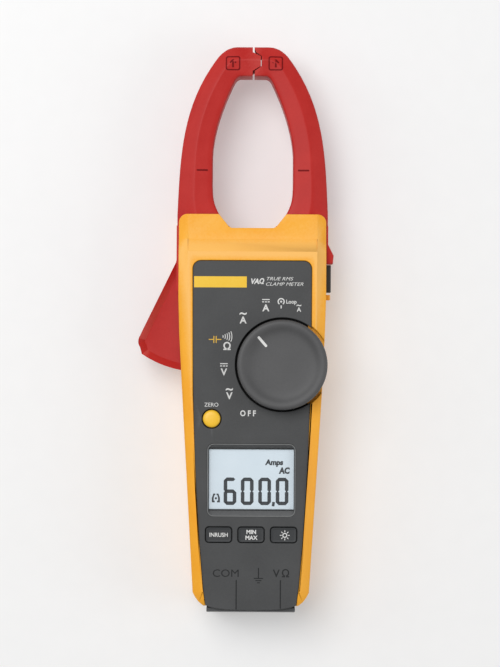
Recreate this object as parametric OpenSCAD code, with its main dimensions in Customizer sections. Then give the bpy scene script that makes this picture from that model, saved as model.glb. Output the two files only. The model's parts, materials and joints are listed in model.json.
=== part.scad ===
// Handheld clamp meter: two-shell body, opening clamp jaw with trigger, rotary switch, display.
// Frame: Z = 0 is the flat back, +Z leaves the face, +Y points to the jaws.
// Origin: the middle of the back, half way along the whole length.

/* [Body] */
// Width of the body at its widest
body_w = 64; // [63:0.5:65]
// Width of the body at the input end
end_w = 50.4; // [49:0.2:52]
// Depth of the casing without the knob
body_z = 34.5; // [34.2:0.1:35]
// Height at which the two shells meet
seam_z = 17; // [16.5:0.1:17.5]
// Wall thickness of both shells
wall = 2.2; // [1.8:0.1:2.4]
// Height of the lowered face beside the jaws
nose_z = 31; // [30.6:0.1:31.5]

/* [Jaws] */
// Y of the jaw tips
tip_y = 123; // [122.6:0.1:124]
// Y of the top edge of the jaw opening
throat_y = 110.2; // [109.8:0.1:110.6]
// Clear width of the jaw opening
throat_w = 35.2; // [34.6:0.1:35.6]
// Back face of the jaws
jaw_z0 = 7; // [6.6:0.1:7.2]
// Front face of the jaws
jaw_z1 = 27.6; // [27.2:0.1:27.8]
// Back face of the trigger
trig_z0 = 9; // [8.6:0.1:9.6]
// Front face of the trigger
trig_z1 = 24.8; // [24:0.1:24.9]
// Radius of the pivot pin
pin_r = 2; // [1.8:0.05:2.2]
// Radial running clearance of the pivot
pin_fit = 0.03; // [0.02:0.01:0.06]

/* [Knob] */
// Radius of the rotary knob
knob_r = 19.45; // [19:0.05:19.8]
// Top of the knob, which is the deepest point of the meter
knob_z = 43; // [42:0.1:44]
// Direction of the pointer, counterclockwise from +Y, in degrees
pointer_deg = 41; // [35:1:45]
// Angle between two switch positions, in degrees
detent_deg = 25; // [24:1:26]

/* [Front] */
// Face of the dark front panel
panel_z = 33.9; // [33.7:0.1:34]
// Thickness of the front panel
panel_t = 2; // [1.8:0.1:2.2]
// Length of one front button
button_l = 10.9; // [10:0.1:11.2]
// Width of one front button
button_w = 6.3; // [6:0.1:6.6]
// Radius of the round zero button
zero_r = 3.8; // [3.6:0.05:4]

/* [Inputs] */
// Radius of the bore of an input jack
jack_r = 2; // [2:0.05:2.1]
// Depth of the bore of an input jack
jack_l = 20; // [18:0.5:20]

/* [Hidden] */
$fn = 64;
// Overlap that keeps cuts clean
cut = 1;

yellow = "#F8B440";
dark = "#4A4C4E";
red = "#C8342F";
steel = "#B9BDC1";
brass = "#C9A24B";

// Casing outline
half_w = body_w / 2;
half_end = end_w / 2;
shoulder_y = 50;
shoulder_r = 3.7;
taper_y = 14;
end_y = -113.9;
foot_y = -119.7;
foot_half = 20.6;
butt_y = -123;
butt_half = 19.2;
bevel = 4;
bevel_z = 2.4;

// Notch of the casing under the jaw opening
notch_y = 44;
notch_half = 9.5;
notch_top = 14.6;

// Sloped band between the nose and the face
ramp_y0 = 33.4;
ramp_y1 = 39.2;

// Front panel outline
panel_top = 29.7;
panel_half = 25.7;
panel_r = 3.5;
ledge = 1.5;

// Pivot of the moving jaw
pivot = [-22.9, 26.4];
bush_r = 3.2;
trigger_r = 45;
seat_r = 18.5;
hub_r = 13.8;
seat_gap = 0.5;
seat_x = pivot.x + seat_r;

// Knob and its well
knob_at = [13.1, -15.2];
well_r = 20.4;
well_z = 31.2;
shaft_r = 3.9;
rotor_r = 10.8;
detent_at = 200;
rotor_z0 = 27.7;
rotor_z1 = 29.4;

// Printed circuit board
board_z0 = 25.4;
board_z1 = 27;

// Display
lcd_y = -64.6;
lcd_half = 18.4;
lcd_h = 26;
lens_half = 19;
lens_y0 = -80.9;
lens_y1 = -49.5;
lens_z0 = 32.3;
lens_z1 = 33.6;

// Buttons
button_y = -88.8;
button_x = [-14, 0, 14.1];
zero_at = [-17.3, -38.7];
key_z0 = 31.5;
key_z1 = 34.5;
flange_t = 0.3;
key_fit = 0.15;
pad_z0 = 29.4;
pad_z1 = 30.6;

// Hold button on the right side
hold_y0 = 16.2;
hold_y1 = 28.2;
hold_z0 = 18.6;
hold_z1 = 24.4;
hold_x = 34.2;

// Input end
jack_x = [-6.3, 12.8];
jack_z = 16.6;
jack_y = -120;
sleeve_r = 3;
shroud_r = 5;
socket_at = [-15.2, 16.6];
socket_r = 3;
cap_z0 = 3;
cap_z1 = panel_z - panel_t - 0.1;
cap_y1 = -98;

// Batteries
cell_r = 7.25;
cell_l = 50.5;
cell_x = 7.8;
cell_z = 10.2;
cell_y0 = -83.5;

// Battery door
door_half = 18;
door_y0 = -92;
door_y1 = -27;
door_z = 2;
door_fit = 0.2;

// Screws
case_screws_at = [[-25, -27], [25, -27], [-22.4, -97.5], [22.4, -97.5]];
jaw_screws_at = [[27.2, 31.8], [8, 27.5]];
board_screws_at = [[-10, 9], [22, 9], [-20.8, -46.5], [20.8, -46.5]];
boss_r = 3;
head_r = 2.6;
head_t = 1.8;
head_z = 0.5;
thread_r = 1.4;

// Half-width of the casing at height y of the outline
function side_x(y) = y > taper_y ? half_w :
    half_w - (half_w - half_end) * pow((taper_y - y) / (taper_y - end_y), 1.3);

// Half-width of the front panel
function panel_x(y) = y > taper_y ? panel_half :
    panel_half - 5.4 * pow((taper_y - y) / 130, 2.4);

// Outer and inner edge of a jaw arm
function outer_x(y) = let(t = (y - shoulder_y) / 73) 32.8 - 3.2 * t - 18 * pow(t, 3.4);
function inner_x(y) = y < 75 ? throat_w / 2 : throat_w / 2 - 10.5 * pow((y - 75) / 35, 1.71);

function mirrored(points) = [for (i = [len(points) - 1:-1:0]) [-points[i].x, points[i].y]];
function arc(c, r, a0, a1, n) =
    [for (i = [0:n]) c + r * [cos(a0 + (a1 - a0) * i / n), sin(a0 + (a1 - a0) * i / n)]];

module slab(z0, z1) {
    translate([0, 0, z0]) linear_extrude(z1 - z0) children();
}

module box(x, y, z) {
    translate([x[0], y[0], z[0]]) cube([x[1] - x[0], y[1] - y[0], z[1] - z[0]]);
}

module post(at, r, z0, z1) {
    translate([at.x, at.y, z0]) cylinder(r = r, h = z1 - z0);
}

// Points of a coil about the Z axis
function coil(r0, r1, z0, z1, turns, steps) =
    [for (i = [0:turns * steps]) let(t = i / (turns * steps), a = 360 * turns * t, r = r0 + (r1 - r0) * t)
        [r * cos(a), r * sin(a), z0 + (z1 - z0) * t]];

// Round wire along a path, as one closed skin
module wire(path, r, sides = 6) {
    n = len(path);
    rings = [for (i = [0:n - 1]) let(
        d = path[min(i + 1, n - 1)] - path[max(i - 1, 0)],
        along = d / norm(d),
        up = abs(along.z) > 0.8 ? [1, 0, 0] : [0, 0, 1],
        u = cross(up, along) / norm(cross(up, along)),
        v = cross(along, u))
        for (k = [0:sides - 1]) path[i] + r * (cos(360 * k / sides) * u + sin(360 * k / sides) * v)];
    polyhedron(rings, concat(
        [[for (k = [sides - 1:-1:0]) k]],
        [for (i = [0:n - 2]) for (k = [0:sides - 1]) let(a = i * sides + k, b = i * sides + (k + 1) % sides)
            [a, b, b + sides, a + sides]],
        [[for (k = [0:sides - 1]) (n - 1) * sides + k]]));
}

// A rod along Y
module rod_y(x, z, r, y0, y1) {
    translate([x, y1, z]) rotate([90, 0, 0]) cylinder(r = r, h = y1 - y0);
}

module round_rect(w, h, r) {
    hull() for (x = [-1, 1], y = [-1, 1])
        translate([x * (w / 2 - r), y * (h / 2 - r)]) circle(r = r, $fn = 24);
}

// ---- Outlines --------------------------------------------------------------

module casing_2d() {
    right = concat(
        arc([half_w - shoulder_r, shoulder_y - shoulder_r], shoulder_r, 90, 0, 8),
        [for (y = [taper_y:-16:-98]) [side_x(y), y]],
        [[half_end, end_y], [half_end - 1.1, end_y - 2.1], [half_end - 2.6, end_y - 4.1], [foot_half, foot_y]]);
    polygon(concat(mirrored(right), right));
}

module notch_2d() {
    polygon([[-notch_top, shoulder_y + cut], [-notch_top, shoulder_y], [-notch_half - 0.8, notch_y + 0.6],
        [-notch_half + 0.4, notch_y], [notch_half - 0.4, notch_y], [notch_half + 0.8, notch_y + 0.6],
        [notch_top, shoulder_y], [notch_top, shoulder_y + cut]]);
}

module panel_2d(bottom = butt_y + 1.2) {
    right = concat(
        arc([panel_half - panel_r, panel_top - panel_r], panel_r, 90, 0, 8),
        [for (y = [taper_y:-21:-112]) [panel_x(y), y]],
        [[19.4, bottom + 1.6], [18.6, bottom + 1.1], [11, bottom + 0.3]]);
    polygon(concat(mirrored(right), right));
}

function arm_outer() = [for (y = [shoulder_y:8:114]) [outer_x(y), y]];
function arm_corner() = [[15, 118.9], [12.4, 121.2], [10, tip_y - 0.6], [7, tip_y]];
function arm_inner() = concat([[5.6, throat_y], [inner_x(109), 109]],
    [for (y = [104:-7:76]) [inner_x(y), y]],
    [[17.6, 60], [17.2, 57], [16.4, 53.8], [14.9, shoulder_y + 0.6], [10.2, 44.2], [9, 43.6]]);

// Moving half: arm, tongue, hub
module moving_2d() {
    polygon(concat(
        [[seat_x, 43.6], [seat_x, pivot.y]],
        arc(pivot, seat_r, -6, -30, 3),
        arc(pivot, hub_r, 262, 223, 4),
        [[-33, 36]],
        [for (p = arm_outer()) [-p.x, p.y]],
        [for (p = arm_corner()) [-p.x, p.y]],
        [[-0.3, tip_y], [-0.3, 120.7], [3.2, 118.9], [3.2, 114.6], [-0.3, 112.5], [-0.3, throat_y]],
        [for (p = arm_inner()) [-p.x, p.y]]));
}

// Trigger lever: its lower edge is an arc about the pivot
module trigger_2d() {
    polygon(concat(
        [[-26, 32], [-33, 30], [-33, 29], [-48.6, -2.2]],
        arc([-45.3, -5.4], 4.4, 140, 218, 4),
        arc(pivot, trigger_r, 236, 263, 6),
        [[-28, 10], [-22, 20]]));
}

module fixed_2d() {
    polygon(concat(
        [[seat_x + seat_gap, 43.6], [seat_x + seat_gap, pivot.y]],
        arc(pivot, seat_r + seat_gap, -6, -20, 3),
        [[20, 20], [20, 28.7], [35, 28.7], [35.3, 32.3], [32.9, 37]],
        arm_outer(), arm_corner(),
        [[0.5, tip_y], [0.5, 121.1], [3.6, 119.3], [3.6, 114.3], [0.5, 112.4], [0.5, throat_y]],
        arm_inner()));
}

// Iron path inside one arm, drawn on the +X side, with its end faces at x_tip and x_seat
module core_2d(x_tip, x_seat) {
    out = 3;
    in = 2.5;
    polygon(concat(
        [[x_seat, 32], [24, 32], [28, 38]],
        [for (y = [shoulder_y:8:114]) [outer_x(y) - out, y]],
        [[11.4, 117.6], [8, 119.4], [x_tip, 119.4], [x_tip, 113.4], [7.6, 113.4]],
        [for (y = [104:-7:76]) [inner_x(y) + in, y]],
        [[20.1, 60], [19.6, 55], [17.5, 50], [12, 41], [x_seat, 41]]));
}

// ---- Casing ----------------------------------------------------------------

// Solid block of the casing between the seam and the face
module casing_block() {
    hull() {
        slab(seam_z, body_z - bevel_z) casing_2d();
        slab(body_z - 0.1, body_z) offset(delta = -bevel) casing_2d();
    }
}

module nose_cut() {
    translate([-half_w - cut, 0, 0]) rotate([90, 0, 90]) linear_extrude(body_w + 2 * cut)
        polygon([[ramp_y0, body_z + cut], [ramp_y0, body_z], [ramp_y1, nose_z],
            [shoulder_y + cut, nose_z], [shoulder_y + cut, body_z + cut]]);
}

// Prism above the side slope, where the face beside it is at height z, from y0 to y1
module above_slope(z, y0, y1) {
    translate([0, y1, 0]) rotate([90, 0, 0]) linear_extrude(y1 - y0)
        polygon([[half_w - bevel, z], [half_w + bevel, z - 2 * bevel_z],
            [half_w + bevel, body_z + cut], [half_w - bevel, body_z + cut]]);
}

// The side slopes run on down the ramp and along the nose
module nose_sides() {
    for (s = [0, 1]) mirror([s, 0, 0]) {
        above_slope(nose_z, ramp_y1, shoulder_y + cut);
        hull() {
            above_slope(body_z, ramp_y0, ramp_y0 + 0.01);
            above_slope(nose_z, ramp_y1 - 0.01, ramp_y1);
        }
    }
}

// Side slots that let the jaws and the trigger through the shells
module jaw_slots(z0, z1, tz0, tz1) {
    slot_x = 40;
    box([-slot_x, seat_x + 1], [pivot.y, shoulder_y + cut], [z0, z1]);
    post(pivot, hub_r + 0.4, z0, z1);
    box([seat_x, slot_x], [28.4, shoulder_y + cut], [z0, z1]);
    intersection() {
        post(pivot, trigger_r + 0.7, tz0, tz1);
        box([-slot_x - 20, -20], [-40, 20], [tz0, tz1]);
    }
}

module end_opening(z0, z1) {
    box([-butt_half - 0.1, butt_half + 0.1], [butt_y - cut, cap_y1], [z0, z1]);
}

module front_shell() {
    color(yellow) difference() {
        union() {
            difference() {
                casing_block();
                slab(seam_z - cut, nose_z - wall) offset(delta = -wall) casing_2d();
            }
            post(pivot, 5, jaw_z1 + 0.3, nose_z - 0.6);
            for (s = case_screws_at) post(s, boss_r, seam_z, nose_z - 0.6);
            for (s = jaw_screws_at) post(s, 3.2, jaw_z1, nose_z - 0.6);
            box([31.6, 33.9], [12.9, 15.2], [seam_z + 1.5, 25.5]);
        }
        nose_cut();
        nose_sides();
        slab(seam_z - cut, body_z + cut) notch_2d();
        jaw_slots(seam_z - cut, jaw_z1 + 0.3, seam_z - cut, trig_z1 + 0.3);
        slab(panel_z - panel_t, body_z + cut) offset(delta = 0.15) panel_2d();
        slab(nose_z - wall - cut, body_z) intersection() {
            offset(delta = -ledge) panel_2d(butt_y - 6);
            translate([-half_w, -140]) square([body_w, 140 + 26]);
        }
        end_opening(seam_z - cut, body_z + cut);
        post(knob_at, well_r + 0.5, well_z, body_z + cut);
        post(pivot, pin_r, seam_z, 29.8);
        for (s = case_screws_at) post(s, thread_r, seam_z - cut, 27);
        for (s = jaw_screws_at) post(s, thread_r, seam_z - cut, 30);
        box([28, 40], [hold_y0 - 0.15, hold_y1 + 0.15], [hold_z0 - 0.15, hold_z1 + 0.15]);
    }
}

module rear_shell() {
    color(yellow) difference() {
        union() {
            difference() {
                hull() {
                    slab(3, seam_z) casing_2d();
                    slab(0, 0.1) offset(delta = -3) casing_2d();
                }
                slab(wall, seam_z + cut) offset(delta = -wall) casing_2d();
            }
            post(pivot, 3.6, wall - 0.2, jaw_z0 - 0.3);
            for (s = case_screws_at) post(s, boss_r, wall - 0.2, seam_z);
            for (s = jaw_screws_at) post(s, 3.6, wall - 0.2, jaw_z0);
            // Battery bay walls
            difference() {
                box([-19.4, 19.4], [-91, -28], [0.6, 13]);
                box([-17.4, 17.4], [-87.4, -30], [0, 14]);
            }
            post([0, -89.2], 3.4, wall - 0.2, 9);
            box([-16, -14.4], [30, 33], [wall - 0.2, 6.6]);
        }
        slab(-cut, seam_z + cut) notch_2d();
        jaw_slots(jaw_z0 - 0.3, seam_z + cut, trig_z0 - 0.3, seam_z + cut);
        end_opening(cap_z0, seam_z + cut);
        post(pivot, pin_r, 1.2, seam_z);
        for (s = case_screws_at) post(s, 1.7, -cut, seam_z + cut);
        for (s = case_screws_at) post(s, head_r + 0.3, -cut, head_z + head_t);
        for (s = jaw_screws_at) post(s, 1.7, -cut, seam_z);
        for (s = jaw_screws_at) post(s, head_r + 0.3, -cut, head_z + head_t);
        box([-door_half - door_fit, door_half + door_fit], [door_y0 - door_fit, door_y1 + door_fit],
            [-cut, door_z + 0.1]);
        box([-17.4, 17.4], [-87.4, -30], [0, 5]);
        post([0, -89.2], thread_r, 0, 8);
        for (x = [-9, 9]) box([x - 3.2, x + 3.2], [door_y1 - 3.4, door_y1 + 2.6], [door_z, door_z + 1.6]);
        box([-18.2, 18.2], [1.8, 22.2], [-cut, 0.3]);
    }
}

module front_panel() {
    color(dark) difference() {
        union() {
            slab(panel_z - panel_t, panel_z) difference() {
                panel_2d();
                translate(knob_at) circle(r = well_r);
            }
            // Floor and rim of the knob well, kept inside the casing
            intersection() {
                difference() {
                    post(knob_at, well_r + 1, well_z - 1.3, panel_z - panel_t + 0.2);
                    post(knob_at, well_r, well_z, panel_z + cut);
                }
                slab(0, body_z) offset(delta = -ledge - 0.2) panel_2d();
            }
            // Bracket of the detent ball
            translate(knob_at) rotate(detent_at)
                box([rotor_r + 2.3, rotor_r + 4.5], [-3, 3], [28, well_z - 1]);
            for (s = board_screws_at) post(s, 1.9, board_z1, panel_z - panel_t + 0.2);
        }
        for (s = board_screws_at) post(s, 0.9, board_z0, 29.6);
        post(knob_at, shaft_r + 0.1, 0, body_z);
        box([-lcd_half, lcd_half], [lcd_y - lcd_h / 2, lcd_y + lcd_h / 2], [0, 40]);
        box([-lens_half - 0.1, lens_half + 0.1], [lens_y0 - 0.1, lens_y1 + 0.1], [lens_z0, 40]);
        for (x = button_x) translate([x, button_y]) slab(0, 40)
            round_rect(button_l + 2 * key_fit, button_w + 2 * key_fit, 1.3);
        post(zero_at, zero_r + key_fit, 0, 40);
        box([-25.4, -2.3], [18, 23], [panel_z - 0.25, 40]);
        translate(knob_at) rotate(detent_at) translate([rotor_r + 1.5, 0, 28.55])
            rotate([0, 90, 0]) cylinder(r = 0.95, h = 2.2);
    }
}

module name_plate() {
    color("#F9CF3F") box([-25.2, -2.4], [18.1, 22.9], [panel_z - 0.25, panel_z + 0.05]);
}

module jack_end_cap() {
    color(dark) difference() {
        union() {
            rotate([90, 0, 90]) translate([0, 0, -butt_half]) linear_extrude(2 * butt_half)
                polygon([[butt_y, cap_z0 + 0.1], [butt_y + 2.5, cap_z0 + 0.1], [butt_y + 2.5, cap_z1],
                    [butt_y + 1, cap_z1], [butt_y, cap_z1 - 6]]);
            for (x = jack_x) rod_y(x, jack_z, shroud_r + 1.3, butt_y + 1, cap_y1);
            rod_y(socket_at[0], socket_at[1], socket_r + 0.8, butt_y + 1, -108);
        }
        for (x = jack_x) {
            rod_y(x, jack_z, shroud_r, butt_y - cut, cap_y1 - 2);
            rod_y(x, jack_z, sleeve_r, cap_y1 - 5, cap_y1 + cut);
        }
        rod_y(socket_at[0], socket_at[1], socket_r, butt_y - cut, -107);
    }
}

module input_jacks() {
    color(brass) for (x = jack_x) difference() {
        union() {
            rod_y(x, jack_z, sleeve_r, jack_y, cap_y1 + 1);
            box([x - 1.2, x + 1.2], [cap_y1, cap_y1 + 1], [jack_z, board_z0]);
        }
        rod_y(x, jack_z, jack_r, jack_y - cut, jack_y + jack_l);
    }
}

module probe_socket() {
    color("#2B2C2E") difference() {
        rod_y(socket_at[0], socket_at[1], socket_r - 0.05, -119.5, -109);
        rod_y(socket_at[0], socket_at[1], 2.1, -120, -112);
    }
    color(brass) for (a = [0:60:300])
        rod_y(socket_at[0] + 1.3 * cos(a), socket_at[1] + 1.3 * sin(a), 0.3, -118, -111);
}

// ---- Jaws ------------------------------------------------------------------

// Cone that bevels the outer edge of an arm; the arc fits the arm's outer edge
module arm_bevel(side, z_ridge, z_edge) {
    arc_r = 104.9;
    depth = 5.3;
    slope = (z_edge - z_ridge) / depth;
    over = sign(z_ridge - z_edge);
    intersection() {
        translate([side * -71.65, 59.9, 0]) rotate_extrude($fn = 180)
            polygon([[arc_r - depth - over, z_ridge - slope * over], [arc_r + 6, z_edge + slope * 6],
                [arc_r + 6, z_ridge + over]]);
        box([-50, 50], [shoulder_y + 0.5, tip_y + cut], [0, 40]);
    }
}

module moving_body() {
    slab(jaw_z0, jaw_z1) moving_2d();
    slab(trig_z0, trig_z1) trigger_2d();
}

module moving_bores() {
    post(pivot, bush_r, 0, 40);
    slab(11.85, 22.15) offset(delta = 0.15) mirror([1, 0]) core_2d(-1.9, 6.2);
    post(pivot, 6.4, 0, jaw_z0 + 1.2);
}

module moving_jaw_front() {
    color(red) difference() {
        intersection() {
            moving_body();
            box([-60, 10], [-30, 130], [seam_z, 40]);
        }
        moving_bores();
        arm_bevel(-1, jaw_z1, jaw_z1 - 3);
    }
}

module moving_jaw_rear() {
    color(red) difference() {
        intersection() {
            moving_body();
            box([-60, 10], [-30, 130], [0, seam_z]);
        }
        moving_bores();
        arm_bevel(-1, jaw_z0, jaw_z0 + 3);
    }
}

module fixed_bores() {
    slab(11.85, 22.15) offset(delta = 0.15) core_2d(6.5, -1.3);
    box([4.8, 6.5], [114, 118.8], [14.8, 19.2]);
    box([-3, -1.3], [34, 39], [14.8, 19.2]);
    for (s = jaw_screws_at) post(s, 1.7, 0, 40);
    box([19, 31], [58, 74], [11, 23]);
}

module fixed_jaw_front() {
    color(red) difference() {
        slab(seam_z, jaw_z1) fixed_2d();
        fixed_bores();
        arm_bevel(1, jaw_z1, jaw_z1 - 3);
    }
}

module fixed_jaw_rear() {
    color(red) difference() {
        slab(jaw_z0, seam_z) fixed_2d();
        fixed_bores();
        arm_bevel(1, jaw_z0, jaw_z0 + 3);
    }
}

module moving_core() {
    color("#6E7276") slab(12, 22) mirror([1, 0]) core_2d(-1.9, 6.2);
}

module fixed_core() {
    color("#6E7276") slab(12, 22) core_2d(6.5, -1.3);
}

module hall_sensors() {
    color("#26282A") {
        box([4.9, 6.4], [114.2, 118.6], [15, 19]);
        box([-2.9, -1.4], [34.2, 38.8], [15, 19]);
    }
}

// Winding round the fixed core
module sense_coil() {
    color("#B5652E") difference() {
        box([19.3, 30.7], [59, 73], [11.2, 22.8]);
        slab(11.9, 22.1) offset(delta = 0.1) core_2d(6.5, -1.3);
    }
}

module pivot_bushes() {
    color(brass) for (z = [jaw_z0 + 1.2, jaw_z1 - 4]) difference() {
        post(pivot, bush_r, z, z + 4);
        post(pivot, pin_r + pin_fit, 0, 40);
    }
}

module pivot_pin() {
    color(steel) post(pivot, pin_r, 1.2, 29.8);
}

// Torsion spring: coils round the pin boss, one leg on the shell and one on the jaw
module jaw_spring() {
    coil_r = 4.6;
    turns = coil(coil_r, coil_r, 3.1, 6.2, 3, 16);
    color(steel) translate([pivot.x, pivot.y, 0])
        wire(concat([[coil_r, -7.5, 3.1], [coil_r, -2, 3.1]], turns,
            [[coil_r, 2, 6.3], [coil_r, 7.5, 6.4]]), 0.5);
}

// ---- Fasteners -------------------------------------------------------------

// Cross-recess screw driven from the back, head at z0
module back_screw(at, z0, length) {
    difference() {
        union() {
            post(at, head_r, z0, z0 + head_t);
            post(at, thread_r, z0, z0 + length);
        }
        translate([at.x, at.y, z0]) for (a = [0, 90]) rotate(a) cube([2.8, 0.6, 1.6], center = true);
    }
}

module case_screws() {
    color(steel) for (s = case_screws_at) back_screw(s, head_z, 24);
}

module fixed_jaw_screws() {
    color(steel) for (s = jaw_screws_at) back_screw(s, head_z, 29);
}

module board_screws() {
    color(steel) for (s = board_screws_at) {
        post(s, 1.7, board_z0 - 1.1, board_z0);
        post(s, 0.9, board_z0 - 1.1, 29.4);
    }
}

// ---- Rotary switch ---------------------------------------------------------

module knob_solid() {
    rotate_extrude($fn = 120) polygon([[0, 40.9], [9, 41.1], [13, 41.7], [15, 42.6], [16.6, knob_z],
        [18.2, 42.8], [19.1, 42], [knob_r, 40.6], [knob_r, well_z + 0.7], [knob_r - 1.6, well_z + 0.7],
        [knob_r - 1.6, 38.6], [shaft_r, 38.6], [shaft_r, rotor_z1], [0, rotor_z1]]);
}

// Bar of the pointer, grown by fit on all sides
module pointer_bar(fit) {
    r = 0.55 + fit;
    rotate(pointer_deg) translate([0, 0, 40.3 - fit]) {
        for (y = [10.85, 15.55]) translate([0, y, 0]) cylinder(r = r, h = 4);
        translate([-r, 10.85, 0]) cube([2 * r, 4.7, 4]);
    }
}

module rotary_knob() {
    color("#56585A") translate([knob_at.x, knob_at.y, 0]) difference() {
        knob_solid();
        pointer_bar(0.03);
    }
}

module knob_pointer() {
    color("#E4E4E2") translate([knob_at.x, knob_at.y, 0]) intersection() {
        knob_solid();
        pointer_bar(0);
    }
}

module knob_seal() {
    color("#1E1F20") translate([knob_at.x, knob_at.y, well_z + 0.75])
        rotate_extrude() translate([shaft_r + 1, 0]) circle(r = 0.75, $fn = 24);
}

// Contact carrier with one notch for each switch position
module switch_rotor() {
    color("#E9E4D4") translate([knob_at.x, knob_at.y, 0]) difference() {
        translate([0, 0, rotor_z0]) cylinder(r = rotor_r, h = rotor_z1 - rotor_z0);
        for (i = [-4:2]) rotate(detent_at + i * detent_deg)
            translate([rotor_r + 1.3, 0, rotor_z0 - cut]) cylinder(r = 1.7, h = 4);
    }
}

module wiper_contacts() {
    color(brass) translate([knob_at.x, knob_at.y, 0]) for (a = [0, 120, 240]) rotate(a) {
        box([4.6, 9.6], [-1.5, -0.4], [board_z1 + 0.1, rotor_z0]);
        box([4.6, 9.6], [0.4, 1.5], [board_z1 + 0.1, rotor_z0]);
        box([4, 6], [-1.5, 1.5], [board_z1 + 0.3, rotor_z0]);
    }
}

module detent_ball() {
    color(steel) translate([knob_at.x, knob_at.y, 28.55]) rotate(detent_at)
        translate([rotor_r + 1.2, 0, 0]) sphere(r = 0.9, $fn = 120);
}

module detent_spring() {
    color(steel) translate([knob_at.x, knob_at.y, 28.55]) rotate(detent_at) translate([rotor_r + 2.4, 0, 0])
        rotate([0, 90, 0]) wire(coil(0.6, 0.6, 0, 1.1, 2, 12), 0.15);
}

// ---- Buttons ---------------------------------------------------------------

module front_button(x) {
    translate([x, button_y]) {
        slab(key_z0, key_z1) round_rect(button_l, button_w, 1.2);
        slab(key_z0, key_z0 + flange_t) round_rect(button_l + 1.2, button_w + 1.2, 1.6);
    }
}

module inrush_button() {
    color("#333537") front_button(button_x[0]);
}

module minmax_button() {
    color("#333537") front_button(button_x[1]);
}

module backlight_button() {
    color("#333537") front_button(button_x[2]);
}

module zero_button() {
    color("#F5C52D") {
        post(zero_at, zero_r, key_z0, key_z1 + 0.2);
        post(zero_at, zero_r + 0.9, key_z0, key_z0 + flange_t);
    }
}

module zero_pad() {
    color("#8C8F92") {
        post(zero_at, 4.4, pad_z0, pad_z1);
        post(zero_at, 1.2, board_z1 + 0.4, pad_z0);
    }
}

module keypad_membrane() {
    color("#8C8F92") {
        box([-20.6, 20.6], [button_y - 4.4, button_y + 4.4], [pad_z0, pad_z1]);
        for (x = button_x) post([x, button_y], 1.2, board_z1 + 0.4, pad_z0);
    }
}

module dome_switches() {
    color(steel) for (p = concat([for (x = button_x) [x, button_y]], [zero_at]))
        post(p, 2.4, board_z1, board_z1 + 0.3);
}

module hold_button() {
    color("#3A3C3E") {
        box([29.2, hold_x], [hold_y0, hold_y1], [hold_z0, hold_z1]);
        box([29.2, 29.7], [hold_y0 - 0.4, hold_y1 + 0.4], [hold_z0 - 0.7, hold_z1 + 0.7]);
    }
}

module hold_switch() {
    color(steel) {
        box([24.5, 27.4], [19.2, 25.2], [18.5, 24.5]);
        box([27.4, 28.2], [21, 23.4], [20.3, 22.7]);
    }
    color("#2F6B45") box([22.9, 24.5], [17.5, 27], [17.5, 24.8]);
}

// ---- Display and electronics -------------------------------------------------

module lens_window() {
    color("#C9D3DA", 0.4)
        box([-lens_half, lens_half], [lens_y0, lens_y1], [lens_z0, lens_z1]);
}

module lcd_glass() {
    color("#D5DEE6") box([-20, 20], [-83.4, -50], [29.5, panel_z - panel_t - 0.1]);
}

module backlight_guide() {
    color("#F2F3F0") box([-20, 20], [-80.6, -50], [board_z1, 29.5]);
}

module zebra_strips() {
    color("#2B2C2E") for (x = [-18, 1]) box([x, x + 17], [-83, -81.2], [board_z1, 29.5]);
}

module main_board() {
    color("#2F6B45") difference() {
        slab(board_z0, board_z1) intersection() {
            offset(delta = -wall - 1) casing_2d();
            translate([-40, -106]) square([80, 106 + 12]);
        }
        for (s = board_screws_at) post(s, 1, 0, 40);
        for (s = case_screws_at) post(s, boss_r + 0.3, 0, 40);
        intersection() {
            post(pivot, 20, 0, 40);
            box([-40, 0], [11, 30], [0, 40]);
        }
    }
}

module board_components() {
    color("#222426") {
        box([-6, 6], [-60, -48], [board_z0 - 2.2, board_z0]);
        box([-18, -10], [-72, -64], [board_z0 - 1.6, board_z0]);
        box([8, 20], [-82, -70], [board_z0 - 1.8, board_z0]);
        for (x = [-14, -10.5, 7, 11]) box([x, x + 2], [-96, -93], [board_z0 - 1, board_z0]);
    }
    color("#A9743A") post([15, -60], 4.5, board_z0 - 5.5, board_z0);
    color(steel) box([-20, -14], [-90, -80], [board_z0 - 3, board_z0]);
}

module buzzer() {
    color("#18191A") difference() {
        post([13, -42], 6, board_z0 - 4.5, board_z0);
        post([13, -42], 1, board_z0 - 5, board_z0 - 3);
    }
}

// ---- Battery bay -------------------------------------------------------------

module battery_cells() {
    color("#B98B4A") for (side = [-1, 1]) {
        rod_y(side * cell_x, cell_z, cell_r, cell_y0, cell_y0 + cell_l - 1.2);
        tip = side > 0 ? cell_y0 + cell_l - 1.3 : cell_y0 - 1.2;
        rod_y(side * cell_x, cell_z, 2.6, tip, tip + 1.3);
    }
}

// Flat contacts at the plus ends
module battery_plates() {
    color(steel) {
        box([cell_x - 5, cell_x + 5], [cell_y0 + cell_l, cell_y0 + cell_l + 0.5], [5.2, 14]);
        box([-cell_x - 5, -cell_x + 5], [cell_y0 - 1.7, cell_y0 - 1.2], [5.2, 14]);
    }
}

// Coil contacts at the minus ends
module battery_springs() {
    color(steel) {
        translate([cell_x, cell_y0 - 0.5, cell_z]) rotate([90, 0, 0])
            wire(coil(2.4, 4.2, 0, 2.4, 3, 14), 0.4);
        translate([-cell_x, cell_y0 + cell_l - 0.7, cell_z]) rotate([-90, 0, 0])
            wire(coil(2.4, 4.2, 0, 2.4, 3, 14), 0.4);
    }
}

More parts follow.
